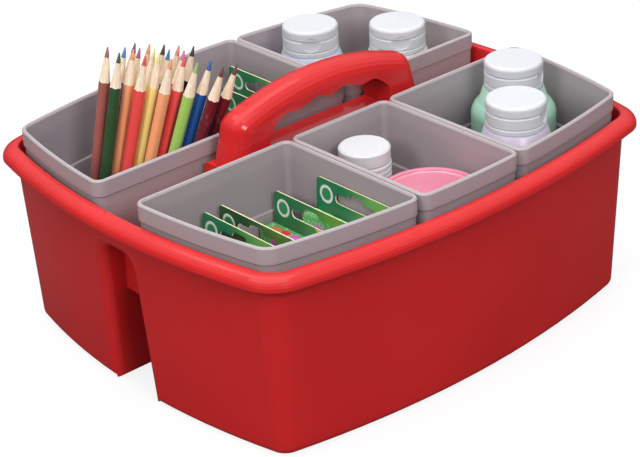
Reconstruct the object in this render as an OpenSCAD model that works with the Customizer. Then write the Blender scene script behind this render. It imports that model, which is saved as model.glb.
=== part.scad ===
// Classroom art caddy: a one-piece red tub with a carrying handle over a
// hollow centre channel, and five loose sorting cups filled with supplies.
// Millimetres. X runs along the handle, Y across it, Z up.
// The origin is on the floor, under the middle of the caddy.

/* [Caddy body] */
// Length of the foot, over the two bowed ends
base_len = 303.6; // [280:0.2:340]
// Width of the foot, over the two bowed sides
base_wid = 266; // [240:0.2:290]
// Bow radius of the long sides at the foot
side_bow_r = 594; // [450:1:900]
// Bow radius of the short ends at the foot
end_bow_r = 470; // [380:1:800]
// Corner radius at the foot
body_corner_r = 12; // [10:0.5:20]
// Height of the rim
body_h = 117.8; // [100:0.1:135]
// Lean of the walls from upright
body_draft = 2.7; // [2:0.1:4]
// Thickness of the walls
wall_t = 2.5; // [2:0.1:3]
// Thickness of the floors
floor_t = 3; // [2.5:0.1:4]
// Outer fillet between wall and floor
foot_r = 5; // [3:0.5:6]
// How far the rolled rim stands out from the wall
rim_out = 8; // [6:0.1:10]
// How far the rolled rim turns down
rim_drop = 7.6; // [6:0.1:10]
// Thickness of the rolled rim
rim_t = 2.2; // [1.8:0.1:2.6]

/* [Centre channel] */
// Height of the arch at the two ends of the channel
arch_h = 93; // [80:0.5:98]
// Radius of the arch's top corners
arch_r = 8; // [5:0.5:10]
// Rounding of the arches' edges
arch_edge_r = 6; // [3:0.5:7]
// Rounding of the channel's edges underneath
channel_foot_r = 2.4; // [1:0.2:2.4]
// Height of the centre wall under the handle
ridge_h = 118; // [112:0.5:119]
// Half length of the raised centre wall
ridge_half = 77.5; // [77:0.5:92]
// Distance of the stiffening web from the end wall, at the foot
web_in = 13; // [10:0.5:20]
// Height of the stiffening web's lower edge
web_z = 58.6; // [40:0.2:70]

/* [Handle] */
// Height of the top of the handle
handle_top = 158.6; // [150:0.2:175]
// Radius of the arched top of the handle
handle_arch_r = 190; // [160:1:240]
// Half length of the handle at its foot
handle_half = 77; // [72:0.5:84]
// Lean of the handle's two ends
handle_lean = 15; // [8:0.5:16]
// Width of the handle
handle_w = 24; // [20:0.5:26]
// Radius of the handle's end corners, seen from the side
handle_end_r = 11.5; // [6:0.5:11.5]
// Half length of the finger opening
grip_half = 48; // [46:0.5:54]
// Height of the bottom of the finger opening
grip_low = 120; // [119:0.2:122]
// Thickness of the grip bar at its middle
grip_t = 13.2; // [11:0.2:15]
// Depth of the four finger hollows
finger_dip = 2.6; // [1:0.1:3.5]
// Spacing of the finger hollows
finger_pitch = 24; // [22:0.5:25]

/* [Sorting cups] */
// Height of the cups' rims above the table
cup_top = 129.2; // [122:0.1:140]
// Play between the cups' rims and the caddy's end walls
cup_end_play = 2.2; // [1.5:0.1:4]
// Play between the cups' rims and the caddy's long walls
cup_side_play = 5.3; // [1.5:0.1:6]
// Gap between a cup's rim and the handle
handle_gap = 4.7; // [3:0.1:6]
// Gap between neighbouring cups of a row
cup_gap = 1; // [0.8:0.1:2]
// Distance of the two front walls between the cups from the middle
front_split = 38.8; // [36:0.2:46]
// Distance of the wall between the two back cups from the middle
back_split = 39.4; // [36:0.2:49]
// Corner radius of the cups' rims
cup_corner_r = 6.5; // [6.2:0.1:8]
// Corner radius where a cup lies in a corner of the caddy
cup_outer_r = 12; // [9:0.5:16]
// Thickness of the cups' walls
cup_t = 2; // [1.6:0.1:2.4]
// Height of the thicker lip band
lip_h = 10; // [6:0.5:12]
// How far the lip band stands out
lip_out = 0.8; // [0.4:0.1:1]
// Lean of the cups' walls
cup_draft = 1; // [0.5:0.1:2.4]
// Height of the stacking step above the table
step_z = 88; // [70:0.5:100]
// Width of the stacking step
step_w = 1.2; // [1:0.1:2]
// Play between the centre wall and the feet of the cups
ridge_play = 0.9; // [0.6:0.1:2]

/* [Paint bottles] */
// Height of a bottle with its cap
bottle_h = 135; // [120:1:150]
// Diameter of a bottle
bottle_d = 53; // [48:0.2:53]
// Diameter of the cap
cap_d = 36.5; // [30:0.5:40]
// Height of the flip lid
lid_h = 6.5; // [5:0.5:8]
// Height of the collar under the flip lid
collar_h = 8; // [6:0.5:12]
// Height of the ring at the collar's foot
ring_h = 3; // [2:0.5:4]
// Height of the sloping shoulder
shoulder_h = 18; // [12:1:22]

/* [Pencils] */
// Length of a pencil
pencil_l = 175; // [150:1:185]
// Width of a pencil over its flats
pencil_d = 6.7; // [6:0.1:7.2]
// Length of the sharpened point
point_l = 23; // [18:1:28]

/* [Crayon packs] */
// Width of a pack
pack_w = 66; // [60:1:72]
// Thickness of a pack
pack_t = 11.8; // [10:0.2:14]
// Height of the hanging tab
tab_h = 20.5; // [16:0.5:26]
// Thickness of the hanging tab's card
card_t = 0.8; // [0.6:0.1:1.2]

/* [Pots] */
// Diameter of the dough pot's lid
pot_lid_d = 61; // [54:0.5:61]
// Height of the dough pot with its lid
pot_h = 102; // [80:1:115]
// Diameter of the glue dauber's ribbed cap
dauber_d = 31.6; // [28:0.2:32]
// Height of the glue dauber
dauber_h = 115; // [100:1:120]

/* [Hidden] */
flat_r = 1e6;            // stands for a straight side
eps = 0.01;
weld = 0.02;             // how far a swept corner stands proud of its neighbours
weld_turn = 0.5;         // and how far it turns into them
$fn = 96;

function lean(z, angle) = z * tan(angle);
function at(angle, r) = [r * cos(angle), r * sin(angle)];
// Points of an elliptical arc.
function arc(cx, cy, rx, ry, a0, a1, n) =
    [for (i = [0:n]) let (a = a0 + (a1 - a0) * i / n) [cx + rx * cos(a), cy + ry * sin(a)]];
// The meeting point of two circles that lies left of the line from c1 to c2.
function meet(c1, r1, c2, r2) =
    let (d = norm(c2 - c1), u = (c2 - c1) / d, along = (r1 * r1 - r2 * r2 + d * d) / (2 * d),
         off = sqrt(r1 * r1 - along * along))
    c1 + along * u + off * [-u.y, u.x];
function heading(from, to) = atan2(to.y - from.y, to.x - from.x);
function turn(a0, a1) = (a1 - a0 + 720) % 360;

// An outline is a list of shallow arcs, [centre, radius], in anticlockwise order, joined by
// tangent corners, whose radii are listed in the same order, the first one after the first
// side. segments() gives every arc as [centre, radius, start, angle].
function segments(sides, radii) =
    let (n = len(sides),
         mid = [for (i = [0:n - 1]) let (a = sides[i], b = sides[(i + 1) % n])
                meet(a[0], a[1] - radii[i], b[0], b[1] - radii[i])])
    [for (i = [0:n - 1])
        let (a = sides[i], b = sides[(i + 1) % n], p = mid[(i + n - 1) % n], q = mid[i],
             from = heading(a[0], p), to = heading(a[0], q), next = heading(b[0], q))
        each [[a[0], a[1], from, turn(from, to)], [q, radii[i], to, turn(to, next)]]];
// The outline as points, moved outwards by grow.
function ring(segs, grow, n = 6) =
    [for (s = segs) for (i = [0:n - 1]) s[0] + at(s[2] + s[3] * i / n, s[1] + grow)];

// Runs a wall section straight from one point to another, with its outer side on the right.
module straight(from, to) {
    translate(to)
        rotate([90, 0, heading(from, to) - 90])
            linear_extrude(norm(to - from))
                children();
}

// Sweeps a wall section, drawn as [outwards, up], round an outline. The corners, every second
// segment, stand proud by a hair and reach a little into the sides, so that all join cleanly.
module sweep(segs) {
    for (i = [0:len(segs) - 1]) {
        s = segs[i];
        corner = i % 2;
        if (s[1] < flat_r)
            translate(s[0])
                rotate_extrude(angle = s[3] + 2 * corner * weld_turn, start = s[2] - corner * weld_turn)
                    translate([s[1] + corner * weld, 0])
                        children();
        else
            straight(s[0] + at(s[2], s[1]), s[0] + at(s[2] + s[3], s[1]))
                children();
    }
}

// Extrudes a [y, z] section along X, between -half and half.
module along_x(half) {
    rotate([90, 0, 90])
        linear_extrude(2 * half, center = true)
            children();
}

// Extrudes an [x, z] section along Y, between -half and half.
module along_y(half) {
    rotate([90, 0, 0])
        linear_extrude(2 * half, center = true)
            children();
}

// The four sides of the caddy's outline, moved outwards by grow.
function right_end(grow) = [[base_len / 2 - end_bow_r, 0], end_bow_r + grow];
function back_side(grow) = [[0, base_wid / 2 - side_bow_r], side_bow_r + grow];
function left_end(grow) = [-right_end(grow)[0], right_end(grow)[1]];
function front_side(grow) = [-back_side(grow)[0], back_side(grow)[1]];

body_sides = [right_end(0), back_side(0), left_end(0), front_side(0)];
body_segs = segments(body_sides, body_corner_r * [1, 1, 1, 1]);
inner_foot_r = 1.9;
skirt = foot_r + 3;      // flat part of the swept section, which the floor overlaps
rim_base_z = body_h - rim_drop + 0.8;
rim_x = lean(rim_base_z, body_draft) - wall_t + 1.4;

module body_section() {
    rise = body_h - rim_base_z;
    reach = lean(rim_base_z, body_draft) + rim_out - rim_x;
    wall_x = lean(rim_base_z, body_draft);
    polygon(concat(
        [[-skirt, 0]],
        arc(lean(foot_r, body_draft) - foot_r, foot_r, foot_r, foot_r, -90, 0, 5),
        [[wall_x, rim_base_z]],
        arc(rim_x, rim_base_z, reach - rim_t, rise - rim_t, 60, 0, 5),
        [[rim_x + reach - rim_t, rim_base_z - 0.8]],
        [[rim_x + reach, rim_base_z - 0.8]],
        arc(rim_x, rim_base_z, reach, rise, 0, 90, 7),
        [[rim_x - 1, body_h - 0.5]],
        [[rim_x - 1.4, body_h - 1.5]],
        arc(lean(floor_t + inner_foot_r, body_draft) - wall_t - inner_foot_r, floor_t + inner_foot_r,
            inner_foot_r, inner_foot_r, 0, -90, 4),
        [[-skirt, floor_t]]));
}

// Section across the channel: upright-ish walls to a given height, with round top corners.
module channel_section(half, top, r) {
    top_half = half - lean(top, body_draft);
    polygon(concat(
        [[-half, 0], [half, 0]],
        arc(top_half - r + lean(r, body_draft), top - r, r, r, 0, 90, 6),
        arc(r - top_half - lean(r, body_draft), top - r, r, r, 90, 180, 6)));
}

// How far the cups' outlines lie outside the caddy's foot, and how far their walls lean in.
end_grow = lean(body_h, body_draft) - wall_t - cup_end_play;
side_grow = lean(body_h, body_draft) - wall_t - cup_side_play;
row_half_gap = handle_w / 2 + handle_gap;
lip_z = cup_top - lip_h;
function cup_in(z) = lip_out + lean(lip_z - z, cup_draft) + (z < step_z ? step_w : 0);
cup_taper = cup_in(floor_t);

ridge_outer = row_half_gap + cup_taper - ridge_play;
channel_half = ridge_outer - wall_t;
roof_t = wall_t + 0.5;

module channel_ridge() {
    intersection() {
        union() {
            along_x(base_len)
                channel_section(ridge_outer, arch_h + roof_t, arch_r);
            along_x(ridge_half)
                channel_section(ridge_outer + weld, ridge_h, 4);
        }
        along_y(2 * ridge_outer)
            polygon([
                [-base_len / 2 + wall_t / 2, 0],
                [base_len / 2 - wall_t / 2, 0],
                [base_len / 2 - wall_t / 2 + lean(body_h, body_draft), body_h],
                [-base_len / 2 + wall_t / 2 - lean(body_h, body_draft), body_h]]);
    }
}

module channel_hollow() {
    translate([0, 0, -eps]) {
        along_x(base_len)
            channel_section(channel_half, arch_h, arch_r);
        along_x(ridge_half - wall_t)
            channel_section(channel_half - weld, ridge_h - roof_t, 4);
    }
}

module channel_webs() {
    x = base_len / 2 - web_in;
    half = channel_half - lean(arch_h, body_draft) + 1;
    low_half = channel_half - lean(web_z, body_draft) + 1;
    for (side = [-1, 1])
        translate([side * x, 0, 0])
            along_x(wall_t / 2)
                polygon([
                    [-low_half, web_z],
                    [low_half, web_z],
                    [half, arch_h + 1],
                    [-half, arch_h + 1]]);
}

arch_z = handle_top - handle_arch_r;    // height of the centre of the handle's arch
foot_z = ridge_h - 2;                   // where the handle's ends start, inside the centre wall

// The handle's outline from the side: two leaning ends, an arch and a hidden foot.
function handle_end(side) =
    [[side * handle_half, ridge_h] - flat_r * [side * cos(handle_lean), sin(handle_lean)], flat_r];
handle_segs = segments([
    handle_end(1),
    [[0, arch_z], handle_arch_r],
    handle_end(-1),
    [[0, ridge_h - 20 + flat_r], flat_r]], handle_end_r * [1, 1, 1, 1]);

// The finger opening: a flat floor, upright ends and a roof that follows the arch,
// with four hollows for the fingers.
module finger_opening() {
    roof_r = handle_arch_r - grip_t;
    steps = 48;
    function roof(x) = arch_z + sqrt(roof_r * roof_r - x * x)
        - finger_dip * (0.5 - 0.5 * cos(360 * x / finger_pitch + 180))
        - 4 * pow(abs(x) / grip_half, 10);
    along_y(handle_w)
        polygon(concat(
            [[-grip_half, grip_low], [grip_half, grip_low]],
            [for (i = [0:steps]) let (x = grip_half * (1 - 2 * i / steps)) [x, roof(x)]]));
}

// The handle's border: a section with two soft edges, swept round the outline.
module handle_section() {
    half = handle_w / 2;
    soft = handle_end_r - 0.5;
    polygon(concat(
        [[0.1 - handle_end_r, -half]],
        arc(-soft, -half + soft, soft, soft, -90, 0, 6),
        arc(-soft, half - soft, soft, soft, 0, 90, 6),
        [[0.1 - handle_end_r, half]]));
}

module handle() {
    difference() {
        intersection() {
            rotate([90, 0, 0]) {
                sweep(handle_segs)
                    handle_section();
                linear_extrude(handle_w, center = true)
                    polygon(ring(handle_segs, 0.6 - handle_end_r, 24));
            }
            translate([0, 0, foot_z + 50])
                cube([200, 100, 100], center = true);
        }
        finger_opening();
    }
}

// The edges of the arches in the end walls are rounded. A bead on the inside keeps the wall's
// thickness there.
leg_right = [[channel_half, 0] - flat_r * [cos(body_draft), sin(body_draft)], flat_r];
leg_left = [[-leg_right[0].x, leg_right[0].y], flat_r];
arch_segs = segments([leg_right, [[0, arch_h - flat_r], flat_r], leg_left, [[0, flat_r - 20], flat_r]],
                     arch_r * [1, 1, 1, 1]);

module at_arches() {
    module one_arch() {
        translate([base_len / 2 - 0.5, 0, 0])
            rotate([0, body_draft, 0])
                rotate([90, 0, 90])
                    sweep(arch_segs)
                        children();
    }
    one_arch()
        children();
    mirror([1, 0, 0])
        one_arch()
            children();
}

module arch_bead() {
    r = arch_edge_r;
    polygon(concat(
        [[1, -r], [1, -1], [r, -1]],
        arc(r, -r, r - wall_t, r - wall_t, 90, 180, 5)));
}

module arch_rounding() {
    r = arch_edge_r;
    polygon(concat(
        [[-1, 4], [-1, -r]],
        arc(r, -r, r, r, 180, 90, 6),
        [[r, 4]]));
}

// Rounds the edges where the channel leaves the floor.
module channel_foot() {
    r = channel_foot_r;
    half = channel_half - lean(r, body_draft);
    along_x(base_len)
        polygon(concat(
            [[half - 1, -1], [half - 1, r]],
            arc(half + r, r, r, r, 180, 270, 5),
            [[half + r, -1]]));
}

module caddy() {
    color("crimson") {
        difference() {
            union() {
                sweep(body_segs)
                    body_section();
                linear_extrude(floor_t)
                    polygon(ring(body_segs, 1 - skirt));
                channel_ridge();
                intersection() {
                    at_arches()
                        arch_bead();
                    translate([0, 0, 60 + foot_r / 2])
                        cube([400, 100, 120 - foot_r], center = true);
                }
            }
            channel_hollow();
            at_arches()
                arch_rounding();
            channel_foot();
            mirror([0, 1, 0])
                channel_foot();
        }
        channel_webs();
        handle();
    }
}

// Sorting cups. Their outlines are drawn at the rim, and their walls stand on the caddy's floor.
cup_foot_r = 2.2;
cup_floor_z = floor_t + cup_t;
cup_skirt = cup_taper + cup_t + 0.4;      // flat part of the section, less than a corner's radius
cup_inner_r = 0.3;

function wall_right(x) = [[x - flat_r, 0], flat_r];
function wall_left(x) = [[x + flat_r, 0], flat_r];
function wall_back(y) = [[0, y - flat_r], flat_r];
function wall_front(y) = [[0, y + flat_r], flat_r];

module cup_section() {
    inner = cup_taper + cup_t;
    ledge_z = step_z + 1.5;
    foot = cup_floor_z + cup_inner_r;
    polygon(concat(
        [[-cup_skirt, floor_t]],
        arc(-cup_in(floor_t + cup_foot_r) - cup_foot_r, floor_t + cup_foot_r, cup_foot_r, cup_foot_r, -90, 0, 4),
        [[-cup_in(step_z - 2), step_z - 2]],
        [[-cup_in(step_z), step_z]],
        [[-lip_out, lip_z - lip_out]],
        [[0, lip_z]],
        [[0, cup_top - 0.8]],
        [[-0.8, cup_top]],
        [[-cup_t, cup_top]],
        [[-lip_out - cup_t, cup_top - 1.2]],
        [[-cup_in(ledge_z + 1) - cup_t, ledge_z + 1]],
        [[-cup_in(ledge_z) - cup_t - step_w * 0.8, ledge_z]],
        [[-cup_in(step_z - 2) - cup_t, step_z - 2.5]],
        arc(-inner - cup_inner_r + 0.1, foot, cup_inner_r, cup_inner_r, 0, -90, 3),
        [[-cup_skirt, cup_floor_z]]));
}

module cup(sides, radii) {
    segs = segments(sides, radii);
    color("darkgray") {
        sweep(segs)
            cup_section();
        translate([0, 0, floor_t])
            linear_extrude(cup_t)
                polygon(ring(segs, 1 - cup_skirt));
    }
}

module cup_back_long() {
    r = cup_corner_r;
    cup([wall_right(back_split - cup_gap / 2), back_side(side_grow), left_end(end_grow),
         wall_front(row_half_gap)], [r, cup_outer_r, r, r]);
}

module cup_back_corner() {
    r = cup_corner_r;
    cup([right_end(end_grow), back_side(side_grow), wall_left(back_split + cup_gap / 2),
         wall_front(row_half_gap)], [cup_outer_r, r, r, r]);
}

module cup_front_left() {
    r = cup_corner_r;
    cup([wall_right(-front_split - cup_gap / 2), wall_back(-row_half_gap), left_end(end_grow),
         front_side(side_grow)], [r, r, cup_outer_r, r]);
}

module cup_front_middle() {
    r = cup_corner_r;
    cup([wall_right(front_split - cup_gap / 2), wall_back(-row_half_gap),
         wall_left(-front_split + cup_gap / 2), front_side(side_grow)], [r, r, r, r]);
}

module cup_front_right() {
    r = cup_corner_r;
    cup([right_end(end_grow), wall_back(-row_half_gap), wall_left(front_split + cup_gap / 2),
         front_side(side_grow)], [r, r, r, cup_outer_r]);
}

// Supplies. Each stands on the floor of its cup, and is placed from the cup's inner walls.
inner_in = cup_taper + cup_t;
back_y = base_wid / 2 + side_grow - inner_in;     // inner back wall, at the middle of the caddy
end_x = base_len / 2 + end_grow - inner_in;       // inner end wall, at the middle of the caddy
row_y = row_half_gap + inner_in;                  // inner wall beside the handle
touch = 0.4;                                      // clearance from a wall or a neighbour
// Inner faces of the bowed walls, at a distance from the middle of the caddy.
function back_at(x) = back_y - x * x / (2 * side_bow_r);
function end_at(y) = end_x - y * y / (2 * end_bow_r);

// Places of the four bottles: in the corners, a little off the walls.
bottle_shift = [[0, -3.5], [-4, 0], [0, 0], [3, 2]];
bottle_r = bottle_d / 2;
bottle_off = bottle_r + touch;
corner_left = back_split + cup_gap / 2 + inner_in;
front_left = front_split + cup_gap / 2 + inner_in;
bottle_at = bottle_shift + [
    [corner_left + bottle_off, back_at(corner_left + bottle_off) - bottle_off - 0.4],
    [end_at(row_y + bottle_off) - bottle_off, row_y + bottle_off],
    [end_at(row_y + bottle_off) - bottle_off, -row_y - bottle_off],
    [front_left + bottle_off, -back_at(front_left + bottle_off) + bottle_off + 0.4]];
// Which way each flip lid's thumb lip faces.
bottle_turn = [-130, -126, -62, -66];
bottle_tint = ["lightsteelblue", "khaki", "mediumaquamarine", "thistle"];
cap_z = cup_floor_z + bottle_h - lid_h - collar_h - ring_h;
collar_z = cap_z + ring_h;
lid_z = collar_z + collar_h;
cap_r = cap_d / 2;
neck_r = cap_r - 2.2;
nozzle_r = 2.2;

module place_bottle(i) {
    translate([bottle_at[i].x, bottle_at[i].y, 0])
        rotate([0, 0, bottle_turn[i]])
            children();
}

module bottle(i) {
    shoulder_z = cap_z - shoulder_h;
    color(bottle_tint[i])
        place_bottle(i)
            rotate_extrude()
                polygon(concat(
                    [[0, cup_floor_z]],
                    arc(bottle_r - 3, cup_floor_z + 3, 3, 3, -90, 0, 4),
                    arc(bottle_r - 5, shoulder_z - 4, 5, 5, 0, 55, 4),
                    [[cap_r + 0.6, cap_z - 1.5]],
                    [[cap_r - 0.4, cap_z]],
                    [[neck_r, cap_z]],
                    [[neck_r, lid_z - 2.6]],
                    [[0, lid_z - 2.6]]));
}

// The screwed collar, with a flat deck, a nozzle and a hinge lug under the lid.
module collar(i) {
    color("whitesmoke")
        place_bottle(i) {
            difference() {
                rotate_extrude()
                    polygon([
                        [neck_r + 0.3, cap_z],
                        [cap_r, cap_z],
                        [cap_r, collar_z - 0.5],
                        [cap_r - 0.5, collar_z],
                        [cap_r - 0.5, collar_z + 0.4],
                        [cap_r, collar_z + 0.9],
                        [cap_r, lid_z - 1.2],
                        [cap_r - 1, lid_z],
                        [nozzle_r, lid_z],
                        [nozzle_r, lid_z + 2.4],
                        [nozzle_r - 1.2, lid_z + 2.4],
                        [nozzle_r - 1.2, lid_z - 2.4],
                        [neck_r + 0.3, lid_z - 2.4]]);
                thumb_dish();
            }
        }
}

// The dish under the thumb lip, cut a little way into the collar's front.
module thumb_dish() {
    translate([cap_r + 1.5, 0, lid_z - 0.5])
        rotate([0, 90, 0])
            cylinder(r = 6.5, h = 6, center = true);
}

hinge_x = -cap_r - 0.6;

// The flip lid: a shallow cap hinged at the back, with a plug pin over the nozzle.
module flip_lid(i) {
    top = lid_z + lid_h;
    color("white")
        place_bottle(i) {
            difference() {
                rotate_extrude()
                    polygon(concat(
                        [[0, lid_z + lid_h - 1.6], [cap_r - 1.8, lid_z + lid_h - 1.6], [cap_r - 1.8, lid_z]],
                        [[cap_r - 0.5, lid_z], [cap_r, lid_z + 0.5]],
                        arc(cap_r - 2.2, top - 2.2, 2.2, 2.2, 0, 90, 4),
                        [[0, top]]));
                translate([cap_r + 3.5, 0, lid_z - 4])
                    rotate([0, 90, 0])
                        cylinder(r = 6.5, h = 8, center = true);
            }
            translate([0, 0, lid_z + 1.2])
                cylinder(r = nozzle_r - 1.6, h = lid_h - 2);
        }
}

// Coloured pencils, in two ranks that lean to the right. Each row of the lists goes from left
// to right, and a pencil's foot and point step evenly along its rank.
front_tints = ["sienna", "darkgreen", "coral", "indianred", "gold", "orange", "crimson", "yellowgreen",
               "navy", "maroon", "darkred"];
back_tints = ["steelblue", "purple", "orchid", "darkorange", "dimgray", "khaki", "royalblue", "salmon",
              "hotpink", "black"];
front_foot = [-117.8, 97.6];
front_step = [3.35, -3.1];
front_zigzag = [-4.5, -4.9];  // every second foot stands aside
front_lean = [7.8, -6.8];     // degrees to the right and to the back
front_fan = [0.48, -1.05];    // and how much each next pencil leans further
back_foot = [-113.2, 109.8];
back_step = [2.7, -3.16];
back_zigzag = [5.4, 4.7];
back_lean = [10.1, -11.5];
back_fan = [0, -0.15];

function pencil_foot(rank, i) =
    rank == 0 ? front_foot + i * front_step + (i % 2) * front_zigzag
              : back_foot + i * back_step + (i % 2) * back_zigzag;
function pencil_lean(rank, i) =
    rank == 0 ? front_lean + i * front_fan : back_lean + i * back_fan;

module pencil(rank, i) {
    foot = pencil_foot(rank, i);
    tilt = pencil_lean(rank, i);
    half = pencil_d / 2;
    color(rank == 0 ? front_tints[i] : back_tints[i])
        translate([foot.x, foot.y, cup_floor_z + half * sin(norm(tilt))])
            rotate([-tilt.y, tilt.x, 0])
                intersection() {
                    cylinder(r = half / cos(30), h = pencil_l, $fn = 6);
                    rotate_extrude()
                        polygon([
                            [0, 0],
                            [half - 0.4, 0],
                            [half / cos(30) + 0.1, 0.8],
                            [half / cos(30) + 0.1, pencil_l - point_l],
                            [1.3, pencil_l - 5.5],
                            [0.4, pencil_l],
                            [0, pencil_l]]);
                }
}

// Crayon packs: a flat carton with a card tab, which has a slot to hang it by.
// [back or front row, x of the card's foot, distance from the inner wall, carton height, lean]
packs = [
    [-1, -120, 0.5, 85, 6],
    [-1, -97, 0.5, 84.6, 0],
    [-1, -61.6, 0.5, 79, 3],
    [-1, -49.2, 24.3, 91.5, 3],
    [1, 14.2, 22.5, 82, 0],
    [1, 26.5, 29, 91.5, 0]];

module crayon_pack(i) {
    p = packs[i];
    carton_h = p[3];
    y = p[0] * (row_y + p[2] + pack_w / 2);
    foot_z = cup_floor_z + pack_t * sin(max(0, -p[4]));
    color("seagreen")
        translate([p[1], y, foot_z])
            rotate([0, p[4], 0]) {
                translate([-pack_t, -pack_w / 2, 0])
                    cube([pack_t, pack_w, carton_h]);
                difference() {
                    translate([-card_t, 0, 0])
                        rotate([90, 0, 90])
                            linear_extrude(card_t)
                                tab_outline(carton_h);
                    translate([-card_t / 2, 0, carton_h + tab_h - 9])
                        rotate([90, 0, 90])
                            linear_extrude(4 * card_t, center = true)
                                hang_slot();
                }
            }
}

module tab_outline(carton_h) {
    r = 3;
    half = pack_w / 2;
    top = carton_h + tab_h;
    polygon(concat(
        [[-half, carton_h - 5], [half, carton_h - 5]],
        arc(half - r, top - r, r, r, 0, 90, 4),
        arc(r - half, top - r, r, r, 90, 180, 4)));
}

// The hanging slot: a long slot with a hump for a hook.
module hang_slot() {
    half = 14;
    polygon(concat(
        arc(-half, 0, 3, 3, 90, 270, 6),
        arc(half, 0, 3, 3, -90, 90, 6),
        [[6.5, 3], [4, 6], [-4, 6], [-6.5, 3]]));
}

// The dough pot and the glue dauber in the middle cup.
pot_at = [1.8, -back_at(0) + pot_lid_d / 2 + touch];
dauber_at = [-2.5, -row_y - dauber_d / 2 - 4];
pot_lid_h = 12;
pot_r = pot_lid_d / 2 - 2;

module dough_pot() {
    top = cup_floor_z + pot_h - 1.6;
    color("white")
        translate([pot_at.x, pot_at.y, 0])
            rotate_extrude()
                polygon([
                    [0, cup_floor_z + 1],
                    [pot_r - 7, cup_floor_z + 1],
                    [pot_r - 6, cup_floor_z],
                    [pot_r - 4, cup_floor_z],
                    [pot_r - 2, cup_floor_z + 2],
                    [pot_r - 0.5, top - pot_lid_h],
                    [pot_r - 0.5, top],
                    [pot_r - 2, top],
                    [pot_r - 4, cup_floor_z + 3],
                    [0, cup_floor_z + 3]]);
}

module dough_lid() {
    top = cup_floor_z + pot_h;
    low = top - pot_lid_h;
    r = pot_lid_d / 2;
    color("hotpink")
        translate([pot_at.x, pot_at.y, 0])
            rotate_extrude()
                polygon([
                    [0, top - 3.6],
                    [r - 6.4, top - 3.6],
                    [r - 5, top - 1.6],
                    [r - 1.5, top - 1.6],
                    [r - 1.5, low],
                    [r, low],
                    [r, top - 1.5],
                    [r - 1.5, top],
                    [r - 4.2, top],
                    [r - 6, top - 2],
                    [0, top - 1.4]]);
}

module dauber_bottle() {
    neck_z = cup_floor_z + dauber_h - 26;
    r = dauber_d / 2;
    color("white")
        translate([dauber_at.x, dauber_at.y, 0])
            rotate_extrude()
                polygon(concat(
                    [[0, cup_floor_z], [r - 1.5, cup_floor_z], [r, cup_floor_z + 1.5]],
                    [[r, neck_z - 3], [r - 2, neck_z]],
                    [[r - 4, neck_z], [r - 4, neck_z + 20], [0, neck_z + 20]]));
}

// The dauber's cap: a smooth band over four ribs.
module dauber_cap() {
    top = cup_floor_z + dauber_h;
    low = top - 26;
    r = dauber_d / 2;
    rib = 3.4;
    color("white")
        translate([dauber_at.x, dauber_at.y, 0])
            rotate_extrude()
                polygon(concat(
                    [[0, low + 20.4], [r - 3.6, low + 20.4], [r - 3.6, low]],
                    [for (i = [0:4]) each [
                        [r - 0.7, low + 0.2 + i * rib],
                        [r, low + 0.9 + i * rib],
                        [r, low + 2.4 + i * rib],
                        [r - 0.7, low + 3.1 + i * rib]]],
                    [[r - 0.3, low + 18], [r - 0.3, top - 1], [r - 1.3, top], [0, top]]));
}

colours = ["blue", "yellow", "green", "lilac"];

caddy();
cup_back_long();
cup_back_corner();
cup_front_left();
cup_front_middle();
cup_front_right();
for (i = [0:3]) {
    bottle(i);
    collar(i);
    flip_lid(i);
}
for (i = [0:10])
    pencil(0, i);
for (i = [0:9])
    pencil(1, i);
for (i = [0:5])
    crayon_pack(i);
dough_pot();
dough_lid();
dauber_bottle();
dauber_cap();
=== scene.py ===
# %% [markdown]
# A red classroom caddy with grey sorting cups, filled with art supplies. This lesson loads the
# finished construction model as a fixed frame and gives it its looks: plastics, paint, card
# and wood. A piece whose shape is already right keeps its mesh and gets a better material.
# Paint bottles, the dough pot's lid, pencils and crayon packs are modelled again, because they
# need softer shapes, cut edges or more than one colour.

# %% Load the frame
import math
import bmesh
import bpy
from mathutils import Matrix, Vector


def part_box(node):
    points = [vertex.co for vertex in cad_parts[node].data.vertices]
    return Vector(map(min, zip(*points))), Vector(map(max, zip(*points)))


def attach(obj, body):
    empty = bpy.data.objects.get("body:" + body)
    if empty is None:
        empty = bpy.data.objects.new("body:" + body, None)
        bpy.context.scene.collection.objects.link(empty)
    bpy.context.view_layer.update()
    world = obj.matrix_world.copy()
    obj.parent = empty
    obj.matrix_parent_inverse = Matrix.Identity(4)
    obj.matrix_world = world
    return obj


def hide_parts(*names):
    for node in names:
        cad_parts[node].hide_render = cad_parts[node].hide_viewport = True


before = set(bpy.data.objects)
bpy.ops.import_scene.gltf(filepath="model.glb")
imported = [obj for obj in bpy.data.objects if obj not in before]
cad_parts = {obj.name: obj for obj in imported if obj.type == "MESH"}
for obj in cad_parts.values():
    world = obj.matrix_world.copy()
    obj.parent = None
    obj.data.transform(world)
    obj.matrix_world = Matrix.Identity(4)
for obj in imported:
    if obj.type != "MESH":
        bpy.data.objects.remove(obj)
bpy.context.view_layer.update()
mm = 0.001

# %% [markdown]
# The camera looks down on the caddy's front left corner. A long lens keeps the far end nearly
# as large as the near one. Its direction could be set by aiming at a point, but three turns say
# more plainly how it stands: turned about Z, tipped down, and rolled a little about the line of
# sight.

# %% Camera
view_turn, view_tip, view_roll = math.radians(-40.34), math.radians(27.33), math.radians(-3.04)
view_from = (-0.7005, -0.8205, 0.6067)
camera = bpy.data.objects.new("camera", bpy.data.cameras.new("camera"))
bpy.context.scene.collection.objects.link(camera)
camera.data.lens = 110.5
camera.data.sensor_width = 36
camera.data.clip_end = 20
camera.matrix_world = (Matrix.Translation(view_from)
                       @ Matrix.Rotation(view_turn, 4, "Z")
                       @ Matrix.Rotation(math.pi / 2 - view_tip, 4, "X")
                       @ Matrix.Rotation(view_roll, 4, "Z"))
bpy.context.scene.camera = camera
bpy.context.scene.view_settings.view_transform = "Standard"
print("camera at", [round(v, 3) for v in camera.matrix_world.translation])

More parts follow.
